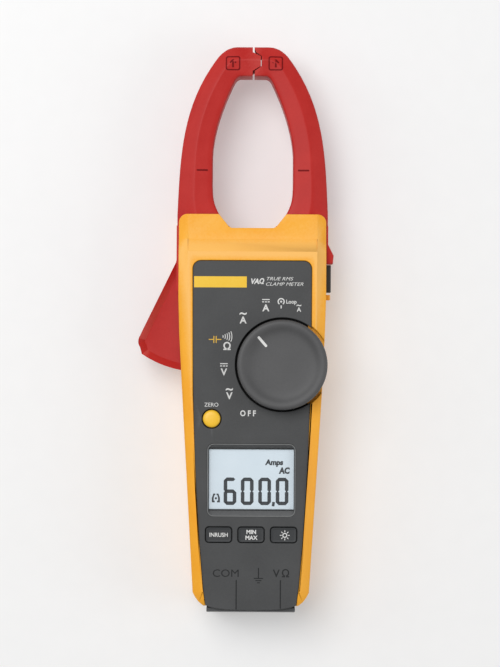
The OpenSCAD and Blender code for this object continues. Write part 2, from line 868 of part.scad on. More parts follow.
module battery_door() {
    color(dark) difference() {
        union() {
            box([-door_half, door_half], [door_y0, door_y1], [0, door_z]);
            for (x = [-9, 9])
                box([x - 3, x + 3], [door_y1 - 1, door_y1 + 2.4], [door_z + 0.2, door_z + 1.4]);
            for (x = [-9, 9])
                box([x - 3, x + 3], [door_y1 - 3.2, door_y1 - 1], [door_z - 0.2, door_z + 1.4]);
        }
        post([0, -89.2], 1.7, -cut, 5);
        post([0, -89.2], head_r + 0.2, -cut, 1.2);
        for (y = [-80:5:-45]) box([-7, 7], [y, y + 1.6], [-cut, 0.5]);
    }
}

module door_screw() {
    color(steel) difference() {
        union() {
            post([0, -89.2], head_r, 0.1, 1.2);
            post([0, -89.2], thread_r, 0.1, 7);
        }
        translate([0, -89.2, 0.1]) cube([3.4, 0.7, 1.2], center = true);
    }
}

module door_seal() {
    color("#2A2B2C") difference() {
        box([-16.9, 16.9], [-87, -30.4], [door_z, door_z + 0.6]);
        box([-15.9, 15.9], [-86, -31.4], [0, 5]);
    }
}

module rear_label() {
    color("#C9CCCE") box([-18, 18], [2, 22], [0.1, 0.3]);
}

front_shell();
rear_shell();
front_panel();
name_plate();
jack_end_cap();
input_jacks();
probe_socket();
moving_jaw_front();
moving_jaw_rear();
moving_core();
pivot_bushes();
pivot_pin();
jaw_spring();
fixed_jaw_front();
fixed_jaw_rear();
fixed_core();
hall_sensors();
sense_coil();
fixed_jaw_screws();
case_screws();
rotary_knob();
knob_pointer();
knob_seal();
switch_rotor();
wiper_contacts();
detent_ball();
detent_spring();
zero_button();
zero_pad();
inrush_button();
minmax_button();
backlight_button();
keypad_membrane();
hold_button();
hold_switch();
dome_switches();
lens_window();
lcd_glass();
backlight_guide();
zebra_strips();
main_board();
board_components();
board_screws();
buzzer();
battery_cells();
battery_springs();
battery_plates();
battery_door();
door_screw();
door_seal();
rear_label();
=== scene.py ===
# %% [markdown]
# # A handheld clamp meter, built round a fixed frame
#
# A clamp meter reads the current in a cable without touching the copper: a trigger opens two
# iron-cored jaws, they close round the cable, and a rotary switch picks what is measured.
# The engineering model gives every part its place, so this lesson only makes the visible pieces
# finer: softer edges, dished and crowned faces, printing, and plastics that look moulded.
# Everything is worked out in millimetres and turned to metres once, when a piece is finished.

# %% Load the frame
import json
import math

import bmesh
import bpy
from mathutils import Matrix, Vector
from mathutils.bvhtree import BVHTree

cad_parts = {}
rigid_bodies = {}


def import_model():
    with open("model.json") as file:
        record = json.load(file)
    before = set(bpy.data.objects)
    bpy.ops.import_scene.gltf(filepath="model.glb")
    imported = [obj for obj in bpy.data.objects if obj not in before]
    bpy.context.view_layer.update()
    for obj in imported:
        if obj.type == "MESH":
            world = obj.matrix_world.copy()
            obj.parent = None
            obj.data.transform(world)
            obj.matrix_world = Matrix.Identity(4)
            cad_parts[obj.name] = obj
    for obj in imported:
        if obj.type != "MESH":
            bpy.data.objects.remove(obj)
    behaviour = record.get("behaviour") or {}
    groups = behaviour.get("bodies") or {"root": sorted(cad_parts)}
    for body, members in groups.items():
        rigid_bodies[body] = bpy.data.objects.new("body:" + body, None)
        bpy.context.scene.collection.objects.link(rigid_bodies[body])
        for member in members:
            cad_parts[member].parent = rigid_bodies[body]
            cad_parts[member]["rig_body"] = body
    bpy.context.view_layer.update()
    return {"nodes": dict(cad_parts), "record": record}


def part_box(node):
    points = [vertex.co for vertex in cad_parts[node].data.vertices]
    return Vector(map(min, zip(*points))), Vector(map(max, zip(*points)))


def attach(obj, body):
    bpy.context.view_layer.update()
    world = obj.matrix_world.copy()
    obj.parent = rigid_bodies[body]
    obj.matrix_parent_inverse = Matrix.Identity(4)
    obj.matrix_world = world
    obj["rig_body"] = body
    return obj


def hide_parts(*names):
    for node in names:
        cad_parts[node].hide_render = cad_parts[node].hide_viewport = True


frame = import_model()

scene = bpy.context.scene
scene.view_settings.view_transform = "Standard"
MM = 0.001

# %% [markdown]
# ## Camera, floor and light
#
# The meter lies flat on a pale table and is seen from straight above, from 1.2 m, so there is
# hardly any perspective. A long lens at that distance keeps the sides parallel. One very large
# soft lamp, high at the upper left, gives the wide soft shadow at the lower right. Two weak low
# lamps brighten the slopes at both sides, and a white room fills the rest. The floor isn't part
# of the object.

# %% Camera
camera = bpy.data.objects.new("camera", bpy.data.cameras.new("camera"))
scene.collection.objects.link(camera)
camera.location = (-0.9 * MM, -1.76 * MM, 1.22)
camera.rotation_euler = (0, 0, math.radians(0.3))
camera.data.sensor_width = 36
camera.data.lens = 148.1
scene.camera = camera
print("camera looks down from", round(camera.location.z, 2), "m")

# %% Lamps and room


def soft_lamp(name, place, size, power):
    """A square lamp that faces the middle of the meter."""
    lamp = bpy.data.lights.new(name, "AREA")
    lamp.size = size
    lamp.energy = power
    holder = bpy.data.objects.new(name, lamp)
    holder.location = place
    holder.rotation_euler = (-Vector(place)).to_track_quat("-Z", "Y").to_euler()
    scene.collection.objects.link(holder)


soft_lamp("window_lamp", (-0.76, 0.84, 2.45), 1.7, 46.5)
soft_lamp("left_lamp", (-1.1, 0.3, 0.6), 0.7, 2.2)
soft_lamp("right_lamp", (1.1, -0.2, 0.65), 0.7, 3.6)
room = bpy.data.worlds.new("white_room")
room.use_nodes = True
room.node_tree.nodes["Background"].inputs["Color"].default_value = (1, 1, 1, 1)
room.node_tree.nodes["Background"].inputs["Strength"].default_value = 0.32
scene.world = room

# %% [markdown]
# ## Two helpers for materials
#
# Colours are picked as sRGB hex values, as on a paint chart, and the shader wants linear light,
# so one function converts them. A second one adds a node with its settings and its links.
# A setting is either a socket, which is found by its name or number, or a property of the node.

# %% Colour and node helpers


def linear(hex_colour):
    """Linear RGBA of an sRGB hex colour."""
    parts = [int(hex_colour[i:i + 2], 16) / 255 for i in (1, 3, 5)]
    light = [p / 12.92 if p <= 0.04045 else ((p + 0.055) / 1.055) ** 2.4 for p in parts]
    return (*light, 1.0)


def add(material, kind, settings=None, links=None):
    """Adds one node to a material and returns it."""
    made = material.node_tree.nodes.new(kind)
    for key, value in (settings or {}).items():
        if isinstance(key, int) or (key in made.inputs and not hasattr(made, str(key))):
            made.inputs[key].default_value = value
        else:
            setattr(made, key, value)
    for key, source in (links or {}).items():
        material.node_tree.links.new(source, made.inputs[key])
    return made


def new_material(name):
    """An empty node material."""
    material = bpy.data.materials.new(name)
    material.use_nodes = True
    material.node_tree.nodes.clear()
    return material


print("linear value of #808080:", round(linear("#808080")[0], 4))

# %% [markdown]
# ## Moulded plastic
#
# The casing is injection-moulded ABS blend. The mould is spark-eroded, which leaves a fine
# pebbled grain of about half a millimetre, so gloss is broken up and highlights are wide.
# Handling polishes the grain off the edges, and the colour drifts a little with the flow of
# the melt. So there are four layers: a slow drift of colour, a slow drift of roughness, a grain
# in the bump, and paler, smoother edges where the surface is convex. The lip round the display
# is the same dark plastic, glossier, and painted paler as a highlight along its edge.

# %% Moulded plastic


def moulded(name, colour, drift, rough, grain_mm=0.5, grain=0.25, worn=None, ior=1.5, specular=0.5):
    """Pebble-grained moulded plastic, with worn edges if worn is a colour."""
    m = new_material(name)
    place = add(m, "ShaderNodeTexCoord").outputs["Object"]
    cloud = add(m, "ShaderNodeTexNoise", {"Scale": 1 / (14 * MM), "Detail": 3.0}, {"Vector": place})
    speck = add(m, "ShaderNodeTexNoise", {"Scale": 1 / (0.9 * MM), "Detail": 2.0}, {"Vector": place})
    mixed = add(m, "ShaderNodeMath", {"operation": "MULTIPLY_ADD", 1: 0.35},
                {0: speck.outputs["Fac"], 2: cloud.outputs["Fac"]})
    spread = add(m, "ShaderNodeMapRange", {"From Min": 0.45, "From Max": 0.9},
                 {"Value": mixed.outputs["Value"]})
    tone = add(m, "ShaderNodeMix", {"data_type": "RGBA", 6: linear(colour), 7: linear(drift)},
               {0: spread.outputs["Result"]})
    tint = tone.outputs[2]
    gloss = add(m, "ShaderNodeMapRange", {"To Min": rough - 0.06, "To Max": rough + 0.08},
                {"Value": cloud.outputs["Fac"]}).outputs["Result"]
    if worn:
        convex = add(m, "ShaderNodeNewGeometry").outputs["Pointiness"]
        patchy = add(m, "ShaderNodeMath", {"operation": "MULTIPLY_ADD", 1: 0.06},
                     {0: speck.outputs["Fac"], 2: convex})
        edge = add(m, "ShaderNodeMapRange", {"From Min": 0.57, "From Max": 0.66, "To Max": 0.55},
                   {"Value": patchy.outputs["Value"]}).outputs["Result"]
        tint = add(m, "ShaderNodeMix", {"data_type": "RGBA", 7: linear(worn)}, {0: edge, 6: tint}).outputs[2]
        gloss = add(m, "ShaderNodeMath", {"operation": "MULTIPLY_ADD", 1: -0.12},
                    {0: edge, 2: gloss}).outputs[0]
    pebble = add(m, "ShaderNodeTexVoronoi", {"Scale": 1 / (grain_mm * MM)}, {"Vector": place})
    bump = add(m, "ShaderNodeBump", {"Strength": grain, "Distance": 0.06 * MM},
               {"Height": pebble.outputs["Distance"]})
    shader = add(m, "ShaderNodeBsdfPrincipled", {"IOR": ior, "Specular IOR Level": specular},
                 {"Base Color": tint, "Roughness": gloss, "Normal": bump.outputs["Normal"]})
    add(m, "ShaderNodeOutputMaterial", {}, {"Surface": shader.outputs["BSDF"]})
    return m


yellow_abs = moulded("yellow_moulded_abs", "#F6A722", "#F9B02E", 0.48, 0.55, 0.22, "#FCC876", specular=0.38)
charcoal_abs = moulded("charcoal_moulded_abs", "#3D3E3F", "#454647", 0.5, 0.5, 0.32, "#626466", specular=0.4)
red_pc = moulded("red_insulating_polycarbonate", "#B5221E", "#BE2C27", 0.46, 0.5, 0.25, "#CE544E",
                specular=0.24)
# Painted highlight: the lip is painted paler than the panel, for the light caught along its edge.
glossy_highlight_abs = moulded("glossy_charcoal_abs_painted_highlight", "#6C6D6C", "#777876", 0.24, 0.5, 0.04, "#8A8B8C")
soft_grey = moulded("soft_touch_grey", "#4A4A4B", "#525253", 0.56, 0.35, 0.16, "#646566")
print("moulded plastics:", [m.name for m in (yellow_abs, charcoal_abs, glossy_highlight_abs, red_pc, soft_grey)])

# %% [markdown]
# ## Keys, inlays and inks
#
# The keys are silicone rubber with a satin coat: dark, a little translucent looking, and with a
# much finer grain than the casing. The pad under them is painted nearly black as the shade in
# the gaps round them and in the other openings. The zero key is a hard yellow cap. The printing
# is a thin film of pad-printed ink, so it is matt and slightly uneven. Cut-in marks show as a
# darker tone of the same plastic, because little light gets into them.

# %% Keys, inlays and inks
silicone_key = moulded("satin_silicone_key", "#2F3133", "#383A3C", 0.5, 0.25, 0.12, ior=1.41)
# Painted shade: this pad is nearly black, as the shade in the gaps round the keys and in the wells.
shade_pad = moulded("painted_shade_silicone", "#060607", "#0C0C0D", 0.65, 0.3, 0.12, specular=0.2)
zero_yellow = moulded("yellow_key_cap", "#F3BC1E", "#F8C83A", 0.36, 0.3, 0.1, "#FBDC84")
bar_yellow = moulded("yellow_foil_bar", "#EFBE22", "#F4C83C", 0.34, 0.6, 0.08, specular=0.4)
white_inlay = moulded("white_inlay", "#DADAD8", "#E6E6E4", 0.45, 0.4, 0.1)
white_ink = moulded("white_pad_print", "#D4D4D2", "#E4E4E2", 0.6, 0.22, 0.2)
yellow_ink = moulded("yellow_pad_print", "#D9A92A", "#EABF45", 0.6, 0.22, 0.2)
cut_dark = moulded("shaded_cut_charcoal", "#232425", "#292A2B", 0.62, 0.4, 0.2, specular=0.2)
cut_red = moulded("shaded_cut_red", "#6E0E12", "#7A1417", 0.6, 0.4, 0.2, specular=0.1)
rubber = moulded("black_nitrile_rubber", "#131415", "#1C1D1E", 0.7, 0.35, 0.3, ior=1.52)
epoxy = moulded("black_moulding_epoxy", "#1E2022", "#282A2C", 0.55, 0.3, 0.3, ior=1.55)
nylon = moulded("natural_nylon", "#DDD6C2", "#E9E3D2", 0.4, 0.4, 0.15, ior=1.53)
insulator = moulded("black_glass_filled_nylon", "#232426", "#2E3032", 0.5, 0.4, 0.3, ior=1.53)
sleeve = moulded("printed_cell_sleeve", "#A87C3C", "#BE9450", 0.28, 2.5, 0.08, "#D8BC86")
label_film = moulded("grey_polyester_label", "#B9BCBE", "#C6C9CB", 0.4, 0.3, 0.06, "#DADCDD")
guide = moulded("white_acrylic_guide", "#EDEEEA", "#F6F6F3", 0.25, 1.2, 0.05, ior=1.49)
mask = moulded("green_solder_mask", "#1F5A36", "#2C7046", 0.3, 0.8, 0.15, "#4E8F64", ior=1.5)
print("materials so far:", len(bpy.data.materials))

# %% [markdown]
# ## Metals
#
# Screws, springs and the pin are zinc plated, the jacks are gold-plated brass, the jaw cores are
# stacked silicon-steel laminations and the winding is enamelled copper wire. Plating and drawing
# leave fine scratches in one direction, so the roughness and bump follow a stretched noise. The
# laminations are a real stack of sheets 0.35 mm thick, drawn as bands along Z.

# %% Metals


def plated(name, colour, drift, rough, along=(1, 1, 6), line_mm=0.4):
    """Plated or drawn metal, with fine lines stretched along the axes where along is small."""
    m = new_material(name)
    place = add(m, "ShaderNodeTexCoord").outputs["Object"]
    scaled = add(m, "ShaderNodeMapping", {"Scale": along}, {"Vector": place}).outputs["Vector"]
    lines = add(m, "ShaderNodeTexNoise", {"Scale": 1 / (line_mm * MM), "Detail": 4.0}, {"Vector": scaled})
    stain = add(m, "ShaderNodeTexNoise", {"Scale": 1 / (5 * MM), "Detail": 2.0}, {"Vector": place})
    tone = add(m, "ShaderNodeMix", {"data_type": "RGBA", 6: linear(colour), 7: linear(drift)},
               {0: stain.outputs["Fac"]})
    gloss = add(m, "ShaderNodeMapRange", {"To Min": rough - 0.08, "To Max": rough + 0.14},
                {"Value": lines.outputs["Fac"]})
    bump = add(m, "ShaderNodeBump", {"Strength": 0.15, "Distance": 0.02 * MM},
               {"Height": lines.outputs["Fac"]})
    shader = add(m, "ShaderNodeBsdfPrincipled", {"Metallic": 1.0},
                 {"Base Color": tone.outputs[2], "Roughness": gloss.outputs["Result"],
                  "Normal": bump.outputs["Normal"]})
    add(m, "ShaderNodeOutputMaterial", {}, {"Surface": shader.outputs["BSDF"]})
    return m


zinc = plated("zinc_plated_steel", "#B4B8BC", "#C9CBC6", 0.32)
gold_brass = plated("gold_plated_brass", "#C79A3C", "#DDB75C", 0.24)
laminated = plated("stacked_silicon_steel", "#5E6266", "#85898D", 0.42, (0.3, 0.3, 9), 3.2)
copper_wire = plated("enamelled_copper_wire", "#A4551F", "#C67A3A", 0.28, (0.3, 6, 0.3), 1.6)
print("metals:", [m.name for m in (zinc, gold_brass, laminated, copper_wire)])

# %% [markdown]
# ## Display materials
#
# The display is a liquid crystal cell over a white light guide: a pale blue-grey sheet with
# nearly black segments. The sheet has a faint painted glow, which brightens it as if evenly lit.
# The window in front of it is hard-coated acrylic, and is almost invisible from straight above.

# %% Display materials


def display_sheet(name, colour, drift, glow):
    """A pale, satin sheet with a faint glow; on the display the glow is painted light."""
    m = new_material(name)
    place = add(m, "ShaderNodeTexCoord").outputs["Object"]
    cloud = add(m, "ShaderNodeTexNoise", {"Scale": 1 / (9 * MM), "Detail": 1.0}, {"Vector": place})
    dust = add(m, "ShaderNodeTexNoise", {"Scale": 1 / (0.3 * MM), "Detail": 1.0}, {"Vector": place})
    tone = add(m, "ShaderNodeMix", {"data_type": "RGBA", 6: linear(colour), 7: linear(drift)},
               {0: cloud.outputs["Fac"]})
    gloss = add(m, "ShaderNodeMapRange", {"To Min": 0.34, "To Max": 0.5}, {"Value": dust.outputs["Fac"]})
    bump = add(m, "ShaderNodeBump", {"Strength": 0.05, "Distance": 0.01 * MM},
               {"Height": dust.outputs["Fac"]})
    shader = add(m, "ShaderNodeBsdfPrincipled", {"IOR": 1.52, "Emission Strength": glow},
                 {"Base Color": tone.outputs[2], "Emission Color": tone.outputs[2],
                  "Roughness": gloss.outputs["Result"], "Normal": bump.outputs["Normal"]})
    add(m, "ShaderNodeOutputMaterial", {}, {"Surface": shader.outputs["BSDF"]})
    return m


def clear_window(name, colour, rough, cover):
    """Clear acrylic: a thin film of gloss over what is behind it."""
    m = new_material(name)
    place = add(m, "ShaderNodeTexCoord").outputs["Object"]
    wipes = add(m, "ShaderNodeTexNoise", {"Scale": 1 / (4 * MM), "Detail": 5.0}, {"Vector": place})
    gloss = add(m, "ShaderNodeMapRange", {"To Min": rough, "To Max": rough + 0.12},
                {"Value": wipes.outputs["Fac"]})
    coated = {"Base Color": linear(colour), "IOR": 1.49, "Alpha": cover, "Specular IOR Level": 0.3}
    shader = add(m, "ShaderNodeBsdfPrincipled", coated, {"Roughness": gloss.outputs["Result"]})
    add(m, "ShaderNodeOutputMaterial", {}, {"Surface": shader.outputs["BSDF"]})
    return m


# Painted light: the display sheet glows faintly, which brightens it as if evenly lit.
lcd_sheet = display_sheet("liquid_crystal_sheet_painted_glow", "#C3D0D9", "#CBD7DF", 0.14)
segment_ink = moulded("dark_liquid_crystal_segment", "#1B2126", "#232A30", 0.5, 0.3, 0.03, specular=0.3)
window_acrylic = clear_window("hard_coated_acrylic", "#E8EEF2", 0.06, 0.025)
print("display materials:", [lcd_sheet.name, segment_ink.name, window_acrylic.name])

# %% [markdown]
# ## Finishes for the parts that stay as they are
#
# Most inner parts already have their true shape in the engineering model. They keep it, and only
# get a real finish in the place of the flat one, chosen by the slot that the record gives them.

# %% Finish of every slot
# The silicone slot gets the pad that is painted nearly black as shade.
finish_of = {
    "yellow_shell": yellow_abs, "dark_panel": charcoal_abs, "red_jaw": red_pc, "knob_grey": soft_grey,
    "pointer_white": white_inlay, "button_dark": silicone_key, "zero_yellow": zero_yellow,
    "plate_yellow": bar_yellow, "lens_clear": window_acrylic, "lcd": lcd_sheet, "light_guide": guide,
    "silicone": shade_pad, "black_rubber": rubber, "steel": zinc, "brass": gold_brass,
    "ferrite": laminated, "copper": copper_wire, "chip_black": epoxy, "board_green": mask,
    "rotor_nylon": nylon, "socket_black": insulator, "cell_wrap": sleeve, "label": label_film,
}
slot_of = {part["node"]: part["material_slot"] for part in frame["record"]["subparts"]}
for node_name, node_object in frame["nodes"].items():
    for material_slot in node_object.material_slots:
        material_slot.material = finish_of[slot_of[node_name]]
print("finished nodes:", len(frame["nodes"]))

# %% [markdown]
# ## Helpers for shapes
#
# A piece starts as a bmesh in millimetres. `finished` merges its doubles, turns its faces
# outwards, scales it to metres and hands it to the frame. Level faces stay flat-shaded, so the
# long triangles of a filled outline leave no streaks. A Bevel modifier then rounds its edges,
# because no moulded edge is sharp.

# %% Finish a piece


def finished(bm, name, body, finish, stands_for=(), edge=0.0, steps=3, sharp=30):
    """Turns a bmesh in millimetres into a piece that rides on a body."""
    bmesh.ops.remove_doubles(bm, verts=bm.verts, dist=1e-4)
    bmesh.ops.recalc_face_normals(bm, faces=bm.faces)
    bmesh.ops.scale(bm, vec=(MM, MM, MM), verts=bm.verts)
    mesh = bpy.data.meshes.new(name)
    bm.to_mesh(mesh)
    loose = sum(1 for e in bm.edges if len(e.link_faces) != 2)
    bm.free()
    mesh.materials.append(finish)
    for face in mesh.polygons:
        face.use_smooth = abs(face.normal.z) < 0.9999
    piece = bpy.data.objects.new(name, mesh)
    scene.collection.objects.link(piece)
    if edge:
        rounding = piece.modifiers.new("moulded_edges", "BEVEL")
        rounding.width = edge * MM
        rounding.segments = steps
        rounding.limit_method = "ANGLE"
        rounding.angle_limit = math.radians(sharp)
        rounding.use_clamp_overlap = False
        rounding.loop_slide = False
        rounding.harden_normals = True
    else:
        mesh.set_sharp_from_angle(angle=math.radians(sharp))
    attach(piece, body)
    if stands_for:
        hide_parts(*stands_for)
    print(f"{name}: {len(mesh.polygons)} faces, {loose} open edges")
    return piece


# %% [markdown]
# An outline is a ring of corner points. `slab` fills one, with holes if more rings follow, and
# lifts the fill to a thickness, as a sheet part is cut and thickened. `turned` spins a half
# profile round an upright axis, as on a lathe.

# %% Outlines, slabs and turned shapes


def ring(x, y, r, count=32, start=0.0, sweep=360.0):
    """Points on a circle or an arc, counterclockwise."""
    last = count if sweep >= 360 else count - 1
    turns = [math.radians(start + sweep * i / last) for i in range(count)]
    return [(x + r * math.cos(a), y + r * math.sin(a)) for a in turns]


def rounded(x, y, wide, high, r, corner=5, side=1):
    """A rectangle with round corners; side is how many spans each straight side has."""
    points = []
    for sx, sy, start in ((1, 1, 0), (-1, 1, 90), (-1, -1, 180), (1, -1, 270)):
        points += ring(x + sx * (wide / 2 - r), y + sy * (high / 2 - r), r, corner, start, 90)
    spaced = []
    for here, after in zip(points, points[1:] + points[:1]):
        spans = side if math.dist(here, after) > r else 1
        for i in range(spans):
            spaced.append(tuple(a + (b - a) * i / spans for a, b in zip(here, after)))
    return spaced


def mirrored(points):
    """The same chain on the other side of X = 0, walked back."""
    return [(-x, y) for x, y in reversed(points)]


def draw_ring(bm, points, z):
    """Draws a closed ring of edges at height z."""
    corners = [bm.verts.new((x, y, z)) for x, y in points]
    return [bm.edges.new(pair) for pair in zip(corners, corners[1:] + corners[:1])]


def slab(bm, rings, low, high):
    """A flat slab: the first ring is its outline and the others are holes. Returns its upper faces."""
    edges = [edge for points in rings for edge in draw_ring(bm, points, low)]
    filled = bmesh.ops.triangle_fill(bm, use_beauty=True, use_dissolve=False, edges=edges)
    faces = [part for part in filled["geom"] if isinstance(part, bmesh.types.BMFace)]
    lifted = bmesh.ops.extrude_face_region(bm, geom=faces, use_keep_orig=True)["geom"]
    upper = [part for part in lifted if isinstance(part, bmesh.types.BMVert)]
    bmesh.ops.translate(bm, vec=(0, 0, high - low), verts=upper)
    return [part for part in lifted if isinstance(part, bmesh.types.BMFace)]


def turned(bm, profile, x, y, steps=96):
    """Spins a profile of (radius, height) round an upright axis."""
    chain = [bm.verts.new((x + r, y, z)) for r, z in profile]
    edges = [bm.edges.new(pair) for pair in zip(chain, chain[1:])]
    if profile[0][0] > 0:
        edges.append(bm.edges.new((chain[-1], chain[0])))
    bmesh.ops.spin(bm, geom=chain + edges, cent=(x, y, 0), axis=(0, 0, 1), angle=math.tau,
                   steps=steps, use_merge=True, use_duplicate=False)
    bmesh.ops.remove_doubles(bm, verts=bm.verts, dist=1e-4)


print("a rounded key outline has", len(rounded(0, 0, 10.9, 6.3, 1.2)), "points")

# %% [markdown]
# Lettering is made from Blender's own font, thickened a little because printing spreads, and
# turned into a mesh before it gets its place. `draped` drops any flat mark onto a surface that
# isn't flat, by shooting a ray down at every point, as a decal is laid on a moulding. In the
# font a capital is 0.73 of the size, and half the thickness of a printed film is 0.02 mm.

# %% Lettering and draping
CAPITAL = 0.73
FILM = 0.02


def letters(bm, words, high, x, y, z, weight=0.02, slant=0.0, wide=1.0):
    """Adds lettering whose capitals are high mm tall, centred on x and y."""
    curve = bpy.data.curves.new("lettering", "FONT")
    curve.body = words
    curve.size = high / CAPITAL
    curve.align_x = "CENTER"
    curve.align_y = "CENTER"
    curve.offset = weight * high
    curve.extrude = FILM
    curve.shear = slant
    curve.resolution_u = 3
    holder = bpy.data.objects.new("lettering", curve)
    scene.collection.objects.link(holder)
    bpy.context.view_layer.update()
    drawn = bpy.data.meshes.new_from_object(holder.evaluated_get(bpy.context.evaluated_depsgraph_get()))
    drawn.transform(Matrix.Translation((x, y, z)) @ Matrix.Diagonal((wide, 1, 1, 1)))
    bm.from_mesh(drawn)
    bpy.data.objects.remove(holder)
    bpy.data.curves.remove(curve)
    bpy.data.meshes.remove(drawn)


def bar(bm, x, y, wide, high, z, turn=0.0, thick=2 * FILM):
    """Adds a small flat bar, centred on x and y."""
    made = bmesh.ops.create_cube(bm, size=1)["verts"]
    bmesh.ops.scale(bm, vec=(wide, high, thick), verts=made)
    place = Matrix.Translation((x, y, z)) @ Matrix.Rotation(math.radians(turn), 4, "Z")
    bmesh.ops.transform(bm, matrix=place, verts=made)


def hoop(bm, x, y, r, thick, z, start=0.0, sweep=360.0, steps=28):
    """Adds a flat hoop, or a part of one, of line width thick."""
    outer = ring(x, y, r + thick / 2, steps, start, sweep)
    inner = ring(x, y, r - thick / 2, steps, start, sweep)
    if sweep >= 360:
        slab(bm, [outer, inner], z - FILM, z + FILM)
    else:
        slab(bm, [outer + inner[::-1]], z - FILM, z + FILM)


def draped(bm, surface, lift):
    """Lays every point of a flat mark drawn round Z = 0 onto a surface, raised by lift."""
    for point in bm.verts:
        hit = surface.ray_cast(Vector((point.co.x, point.co.y, 100)), Vector((0, 0, -1)))[0]
        point.co.z += hit.z + lift


print("lettering and draping are ready")

# %% [markdown]
# ## Softer copies of carried-over parts
#
# Where a CAD part is right in shape and only its edges are too hard, a copy of it is merged,
# its flat triangles are joined back into whole faces, and its edges are rounded. That is the
# quickest honest way to a moulded look, because every bore and slot stays where it was.

# %% Ease the edges of a CAD part


def eased(node, edge, steps=2, sharp=32):
    """A merged copy of a CAD part with rounded edges, which stands for it."""
    source = frame["nodes"][node]
    bm = bmesh.new()
    bm.from_mesh(source.data)
    bmesh.ops.scale(bm, vec=(1 / MM, 1 / MM, 1 / MM), verts=bm.verts)
    bmesh.ops.remove_doubles(bm, verts=bm.verts, dist=0.004)
    bmesh.ops.dissolve_limit(bm, angle_limit=math.radians(1), verts=bm.verts, edges=bm.edges)
    return finished(bm, node + "_eased", source["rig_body"], finish_of[slot_of[node]],
                    (node,), edge, steps, sharp)


for node_name, edge_mm in (("front_shell", 0.35), ("rear_shell", 0.2), ("jack_end_cap", 0.25),
                           ("battery_door", 0.25), ("hold_button", 0.3), ("name_plate", 0.03)):
    eased(node_name, edge_mm)

# %% [markdown]
# ## Outlines of the panel and the jaws
#
# The dark panel narrows towards the input end along a gentle curve, and the knob takes a round
# bite out of its right side. The jaws are an arch whose outer and inner edges are two curves.
# The numbers are the casing's own, so the new pieces land in the openings that hold them.

# %% Outline functions
KNOB = (13.1, -15.2)
ZERO = (-17.3, -38.7)
KEY_Y = -88.8
PIVOT = (-22.9, 26.4)
PANEL_Z = 33.9
SEAM_Z = 17.0
JAW_Z = 27.6


def between(table, x):
    """Straight-line value at x in a table of (x, value) rows, in rising order of x."""
    for (x0, v0), (x1, v1) in zip(table, table[1:]):
        if x <= x1:
            return v0 + (v1 - v0) * (x - x0) / (x1 - x0)
    return table[-1][1]


def panel_x(y):
    """Half-width of the panel at y."""
    return 25.7 if y > 14 else 25.7 - 5.4 * ((14 - y) / 130) ** 2.4


def outer_x(y):
    """Outer edge of a jaw arm at y."""
    t = max(y - 50, 0) / 73
    return 32.8 - 3.2 * t - 18 * t ** 3.4


def inner_x(y):
    """Inner edge of a jaw arm at y."""
    root = [(38, 9), (43.6, 9), (44.2, 10.2), (50.6, 14.9), (53.8, 16.4), (57, 17.2), (60, 17.6),
            (75, 17.6)]
    return between(root, y) if y < 75 else 17.6 - 10.5 * ((y - 75) / 35) ** 1.71


print("panel half-width at the input end:", round(panel_x(-112), 2), "mm")

# %% [markdown]
# ## The dark front panel
#
# It is one moulded plate that lies 0.6 mm below the yellow frame. It could be cut from a block
# with booleans, but a plate with holes is quicker and cleaner as a filled outline: the outline
# and every hole are rings, one fill closes the face between them, and an extrusion thickens it.
# The lower sheet has a smaller opening for the display, which makes the ledge that the window
# rests on. The floor of the knob's well is a turned ring, cut off where the casing ends, and is
# painted nearly black as the shade in the gap round the knob.

# %% Panel outline


def panel_ring():
    """Outline of the panel, with the bite of the knob's well."""
    well = 20.4
    reach = [y / 10 for y in range(140, -500, -1)]
    inside = [y for y in reach if math.dist((panel_x(y), y), KNOB) < well]
    top, low = inside[0], inside[-1]
    start = math.degrees(math.atan2(top - KNOB[1], panel_x(top) - KNOB[0]))
    stop = 360 + math.degrees(math.atan2(low - KNOB[1], panel_x(low) - KNOB[0]))
    left = [(panel_x(y), y) for y in range(-112, 15, 21)] + ring(22.2, 26.2, 3.5, 9, 0, 90)
    right = [p for p in reversed(left) if p[1] > top + 1]
    right += [(panel_x(top), top)] + ring(*KNOB, well, 72, start, stop - start)[1:-1] + [(panel_x(low), low)]
    right += [p for p in reversed(left) if p[1] < low - 1]
    foot = [(19.6, -118.9), (19.2, -119.6), (17.5, -120.2), (15, -120.7), (11, -121.2), (0, -121.6)]
    return right + foot + mirrored(foot)[1:] + [(-x, y) for x, y in left]


KEYS = {"inrush_button": -14.0, "minmax_button": 0.0, "backlight_button": 14.1}
key_holes = [rounded(x, KEY_Y, 11.7, 7.1, 1.6) for x in KEYS.values()]
zero_hole = ring(*ZERO, 4.3, 40)
print("panel outline points:", len(panel_ring()))

# %% Panel plate, window ledge and knob well
panel_mesh = bmesh.new()
slab(panel_mesh, [panel_ring(), rounded(0, -65.2, 38.3, 31.5, 2.85), zero_hole] + key_holes, 32.3, PANEL_Z)
slab(panel_mesh, [panel_ring(), rounded(0, -64.9, 36.9, 26.4, 0.4), zero_hole] + key_holes, 31.9, 32.31)
finished(panel_mesh, "front_panel_plate", "case", charcoal_abs, ("front_panel",), 0.28)

well_mesh = bmesh.new()
well_profile = [(4.2, 29.9), (21.3, 29.9), (21.3, 31.88), (20.45, 31.88), (20.45, 31.2), (4.2, 31.2)]
turned(well_mesh, well_profile, *KNOB)
everything = well_mesh.verts[:] + well_mesh.edges[:] + well_mesh.faces[:]
cut = bmesh.ops.bisect_plane(well_mesh, geom=everything, plane_co=(24.2, 0, 0), plane_no=(1, 0, 0),
                             clear_outer=True)
bmesh.ops.edgeloop_fill(well_mesh, edges=[e for e in cut["geom_cut"] if isinstance(e, bmesh.types.BMEdge)])
# Painted shade: the well floor is nearly black, as the shade in the gap round the knob.
finished(well_mesh, "knob_well_floor", "case", shade_pad)
